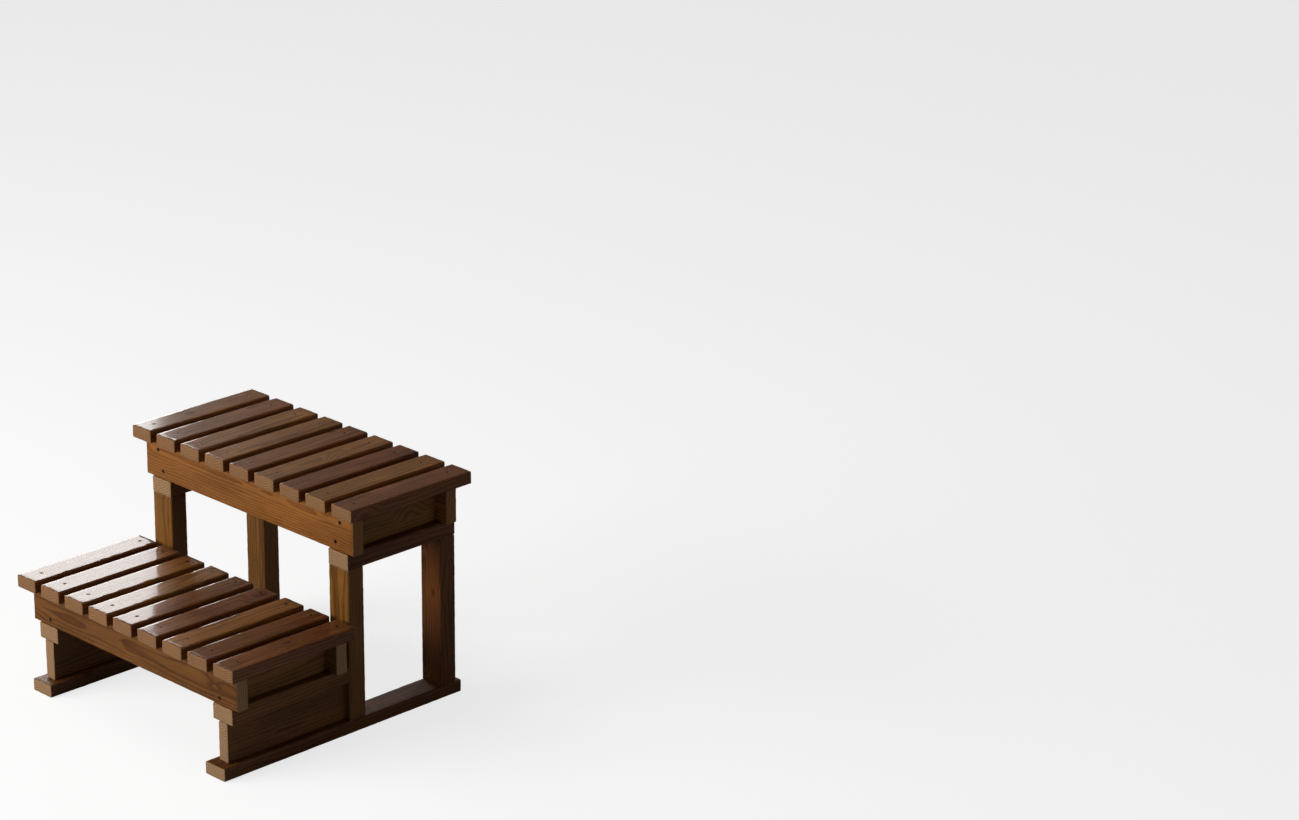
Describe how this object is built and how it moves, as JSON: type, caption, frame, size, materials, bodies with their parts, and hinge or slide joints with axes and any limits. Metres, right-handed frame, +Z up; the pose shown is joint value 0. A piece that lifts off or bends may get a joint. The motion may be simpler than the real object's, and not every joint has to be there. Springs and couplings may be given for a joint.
{
  "type": "spa steps",
  "caption": "Free-standing timber steps for a spa, with two slatted treads on skid-based side frames that are open beneath.",
  "frame": {"origin": "on the floor, under the middle of the steps' bounding box", "axes": "+X runs across the treads to the right as seen by a person who climbs the steps, +Y runs back towards the tub, +Z is up"},
  "size_m": [0.75, 0.685, 0.54],
  "materials": {
    "slat_wood": "stained, satin, with eased edges",
    "rail_wood": "stained, satin",
    "frame_wood": "stained, satin, with paler sawn ends",
    "screw_steel": "countersunk steel with a dull bronze coating"
  },
  "bodies": {
    "root": {"lower_slat_1": "slat_wood", "lower_slat_2": "slat_wood", "lower_slat_3": "slat_wood", "lower_slat_4": "slat_wood", "lower_slat_5": "slat_wood", "lower_slat_6": "slat_wood", "lower_slat_7": "slat_wood", "lower_slat_8": "slat_wood", "lower_slat_9": "slat_wood", "upper_slat_1": "slat_wood", "upper_slat_2": "slat_wood", "upper_slat_3": "slat_wood", "upper_slat_4": "slat_wood", "upper_slat_5": "slat_wood", "upper_slat_6": "slat_wood", "upper_slat_7": "slat_wood", "upper_slat_8": "slat_wood", "upper_slat_9": "slat_wood", "lower_front_rail": "rail_wood", "lower_back_rail": "rail_wood", "upper_front_rail": "rail_wood", "upper_back_rail": "rail_wood", "left_lower_apron": "frame_wood", "left_upper_apron": "frame_wood", "left_skid": "frame_wood", "left_side_board": "frame_wood", "left_lower_side_rail": "frame_wood", "left_front_leg": "frame_wood", "left_back_leg": "frame_wood", "left_upper_side_rail": "frame_wood", "right_lower_apron": "frame_wood", "right_upper_apron": "frame_wood", "right_skid": "frame_wood", "right_side_board": "frame_wood", "right_lower_side_rail": "frame_wood", "right_front_leg": "frame_wood", "right_back_leg": "frame_wood", "right_upper_side_rail": "frame_wood", "lower_slat_screws": "screw_steel", "upper_slat_screws": "screw_steel", "lower_rail_screws": "screw_steel", "upper_rail_screws": "screw_steel", "side_rail_screws": "screw_steel", "side_board_screws": "screw_steel", "leg_screws": "screw_steel", "side_end_screws": "screw_steel", "apron_screws": "screw_steel"}
  },
  "joints": []
}
